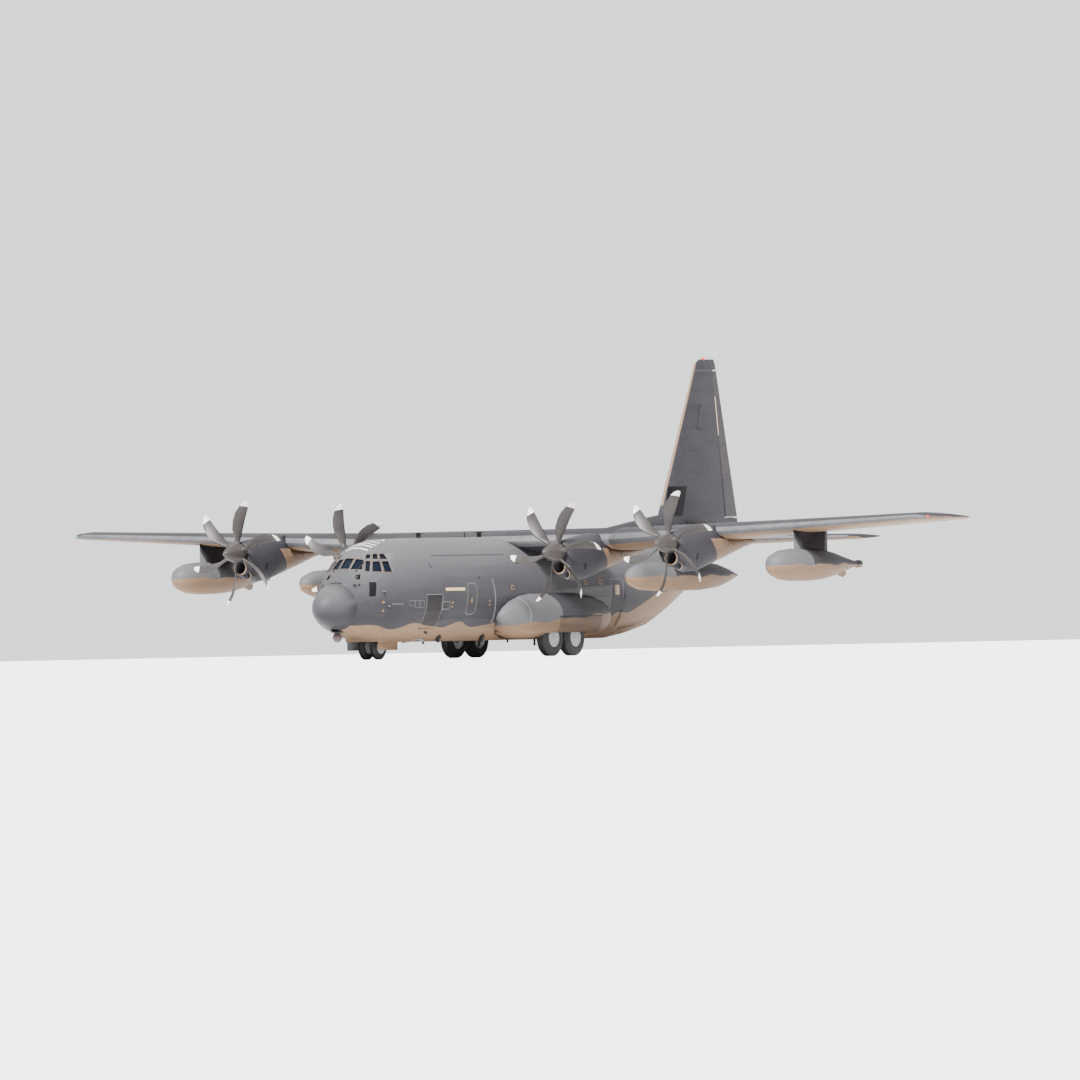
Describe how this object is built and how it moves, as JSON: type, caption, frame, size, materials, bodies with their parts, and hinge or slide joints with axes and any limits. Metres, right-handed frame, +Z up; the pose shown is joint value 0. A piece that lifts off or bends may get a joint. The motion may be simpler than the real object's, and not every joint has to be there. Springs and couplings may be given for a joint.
{
  "type": "military transport plane",
  "caption": "High-wing turboprop transport plane with rear loading ramp, side wheel fairings, underwing tanks and pods, and a tall fin; half-size model on its wheels.",
  "frame": {"origin": "on the ground under the middle of the plane's length and width, as it is parked on its wheels", "axes": "+X to port along the span, -Y towards the nose, +Z up"},
  "size_m": [20.2, 14.895, 5.75],
  "materials": {
    "grey_paint": "matte",
    "tan_paint": "matte",
    "tail_paint": "matte",
    "blade_paint": "satin",
    "tyre_rubber": "matte",
    "rim_paint": "satin",
    "gear_steel": "satin",
    "deck_paint": "matte",
    "window_glass": "gloss"
  },
  "bodies": {
    "airframe": {"radome": "grey_paint", "fuselage_nose": "grey_paint", "fuselage_centre": "grey_paint", "fuselage_aft": "grey_paint", "wing_centre": "grey_paint", "wing_left": "grey_paint", "wing_right": "grey_paint", "nacelle_1": "grey_paint", "nacelle_2": "grey_paint", "nacelle_3": "grey_paint", "nacelle_4": "grey_paint", "paratroop_door_left": "grey_paint", "paratroop_door_right": "grey_paint", "sponson_left": "tan_paint", "sponson_right": "tan_paint", "tank_left": "tan_paint", "tank_right": "tan_paint", "pod_left": "tan_paint", "pod_right": "tan_paint", "fin": "tail_paint", "tailplane": "tail_paint", "nose_leg": "gear_steel", "main_gear_legs_left": "gear_steel", "main_gear_legs_right": "gear_steel", "engine_1": "gear_steel", "engine_2": "gear_steel", "engine_3": "gear_steel", "engine_4": "gear_steel", "cargo_floor": "deck_paint", "flight_deck": "deck_paint", "cockpit_glazing": "window_glass"},
    "propeller_1": {"propeller_1": "blade_paint"},
    "propeller_2": {"propeller_2": "blade_paint"},
    "propeller_3": {"propeller_3": "blade_paint"},
    "propeller_4": {"propeller_4": "blade_paint"},
    "main_wheel_left_front": {"main_rim_left_front": "rim_paint", "main_tyre_left_front": "tyre_rubber"},
    "main_wheel_left_rear": {"main_rim_left_rear": "rim_paint", "main_tyre_left_rear": "tyre_rubber"},
    "main_wheel_right_front": {"main_rim_right_front": "rim_paint", "main_tyre_right_front": "tyre_rubber"},
    "main_wheel_right_rear": {"main_rim_right_rear": "rim_paint", "main_tyre_right_rear": "tyre_rubber"},
    "nose_fork": {"nose_fork": "gear_steel"},
    "nose_wheels": {"nose_rims": "rim_paint", "nose_tyre_left": "tyre_rubber", "nose_tyre_right": "tyre_rubber"},
    "sensor_turret": {"sensor_turret": "gear_steel"},
    "ramp": {"ramp": "deck_paint"},
    "cargo_door": {"cargo_door": "grey_paint"},
    "crew_door": {"crew_door": "tan_paint"},
    "aileron_left": {"aileron_left": "grey_paint"},
    "aileron_right": {"aileron_right": "grey_paint"},
    "flap_inner_left": {"flap_inner_left": "grey_paint"},
    "flap_inner_right": {"flap_inner_right": "grey_paint"},
    "flap_outer_left": {"flap_outer_left": "grey_paint"},
    "flap_outer_right": {"flap_outer_right": "grey_paint"},
    "elevator_left": {"elevator_left": "tail_paint"},
    "elevator_right": {"elevator_right": "tail_paint"},
    "rudder": {"rudder": "tail_paint"}
  },
  "joints": [
    {"name": "propeller_1_spin", "type": "hinge", "parent": "airframe", "child": "propeller_1", "pos_m": [4.98, -2.8125, 2.11], "axis": [0, 1, 0], "continuous": true},
    {"name": "propeller_2_spin", "type": "hinge", "parent": "airframe", "child": "propeller_2", "pos_m": [2.41, -2.8125, 1.99], "axis": [0, 1, 0], "continuous": true},
    {"name": "propeller_3_spin", "type": "hinge", "parent": "airframe", "child": "propeller_3", "pos_m": [-2.41, -2.8125, 1.99], "axis": [0, 1, 0], "continuous": true},
    {"name": "propeller_4_spin", "type": "hinge", "parent": "airframe", "child": "propeller_4", "pos_m": [-4.98, -2.8125, 2.11], "axis": [0, 1, 0], "continuous": true},
    {"name": "main_wheel_left_front_spin", "type": "hinge", "parent": "airframe", "child": "main_wheel_left_front", "pos_m": [1.11, -1.0975, 0.355], "axis": [1, 0, 0], "continuous": true},
    {"name": "main_wheel_left_rear_spin", "type": "hinge", "parent": "airframe", "child": "main_wheel_left_rear", "pos_m": [1.11, -0.3375, 0.355], "axis": [1, 0, 0], "continuous": true},
    {"name": "main_wheel_right_front_spin", "type": "hinge", "parent": "airframe", "child": "main_wheel_right_front", "pos_m": [-1.11, -1.0975, 0.355], "axis": [1, 0, 0], "continuous": true},
    {"name": "main_wheel_right_rear_spin", "type": "hinge", "parent": "airframe", "child": "main_wheel_right_rear", "pos_m": [-1.11, -0.3375, 0.355], "axis": [1, 0, 0], "continuous": true},
    {"name": "nose_steer", "type": "hinge", "parent": "airframe", "child": "nose_fork", "pos_m": [0, -5.6075, 0.2475], "axis": [0, 0, 1], "range_deg": [-60, 60]},
    {"name": "nose_wheels_spin", "type": "hinge", "parent": "nose_fork", "child": "nose_wheels", "pos_m": [0, -5.6075, 0.2475], "axis": [1, 0, 0], "continuous": true},
    {"name": "sensor_turret_turn", "type": "hinge", "parent": "airframe", "child": "sensor_turret", "pos_m": [0, -6.8075, 0.515], "axis": [0, 0, 1], "continuous": true},
    {"name": "ramp_hinge", "type": "hinge", "parent": "airframe", "child": "ramp", "pos_m": [0, 1.7095, 0.345], "axis": [-1, 0, 0], "range_deg": [0, 20]},
    {"name": "cargo_door_hinge", "type": "hinge", "parent": "airframe", "child": "cargo_door", "pos_m": [0, 5.1455, 1.34363], "axis": [-1, 0, 0], "range_deg": [0, 22]},
    {"name": "crew_door_hinge", "type": "hinge", "parent": "airframe", "child": "crew_door", "pos_m": [0.83347, -4.9875, 0.5735], "axis": [0, 1, 0], "range_deg": [0, 110]},
    {"name": "aileron_left_hinge", "type": "hinge", "parent": "airframe", "child": "aileron_left", "pos_m": [8.005, -0.09654, 2.41092], "axis": [0.9954, -0.0835, 0.0476], "range_deg": [-15, 25]},
    {"name": "aileron_right_hinge", "type": "hinge", "parent": "airframe", "child": "aileron_right", "pos_m": [-8.005, -0.09654, 2.41092], "axis": [0.9954, 0.0835, -0.0476], "range_deg": [-15, 25]},
    {"name": "flap_inner_left_hinge", "type": "hinge", "parent": "airframe", "child": "flap_inner_left", "pos_m": [1.975, 0.34002, 2.16219], "axis": [-1, 0, 0], "range_deg": [0, 36]},
    {"name": "flap_inner_right_hinge", "type": "hinge", "parent": "airframe", "child": "flap_inner_right", "pos_m": [-1.975, 0.34002, 2.16219], "axis": [-1, 0, 0], "range_deg": [0, 36]},
    {"name": "flap_outer_left_hinge", "type": "hinge", "parent": "airframe", "child": "flap_outer_left", "pos_m": [4.485, 0.19869, 2.24271], "axis": [-0.9954, 0.0835, -0.0476], "range_deg": [0, 36]},
    {"name": "flap_outer_right_hinge", "type": "hinge", "parent": "airframe", "child": "flap_outer_right", "pos_m": [-4.485, 0.19869, 2.24271], "axis": [-0.9954, -0.0835, 0.0476], "range_deg": [0, 36]},
    {"name": "elevator_left_hinge", "type": "hinge", "parent": "airframe", "child": "elevator_left", "pos_m": [2.205, 5.90765, 2.21], "axis": [0.9958, 0.0919, 0], "range_deg": [-15, 40]},
    {"name": "elevator_right_hinge", "type": "hinge", "parent": "airframe", "child": "elevator_right", "pos_m": [-2.205, 5.90765, 2.21], "axis": [0.9958, -0.0919, 0], "range_deg": [-15, 40]},
    {"name": "rudder_hinge", "type": "hinge", "parent": "airframe", "child": "rudder", "pos_m": [0, 6.7475, 4.09], "axis": [0, -0.1146, 0.9934], "range_deg": [-35, 35]}
  ],
  "couplings": [
    {"joint": "flap_inner_right_hinge", "follows": "flap_inner_left_hinge", "ratio": 1},
    {"joint": "flap_outer_left_hinge", "follows": "flap_inner_left_hinge", "ratio": 1},
    {"joint": "flap_outer_right_hinge", "follows": "flap_inner_left_hinge", "ratio": 1},
    {"joint": "elevator_right_hinge", "follows": "elevator_left_hinge", "ratio": 1}
  ]
}
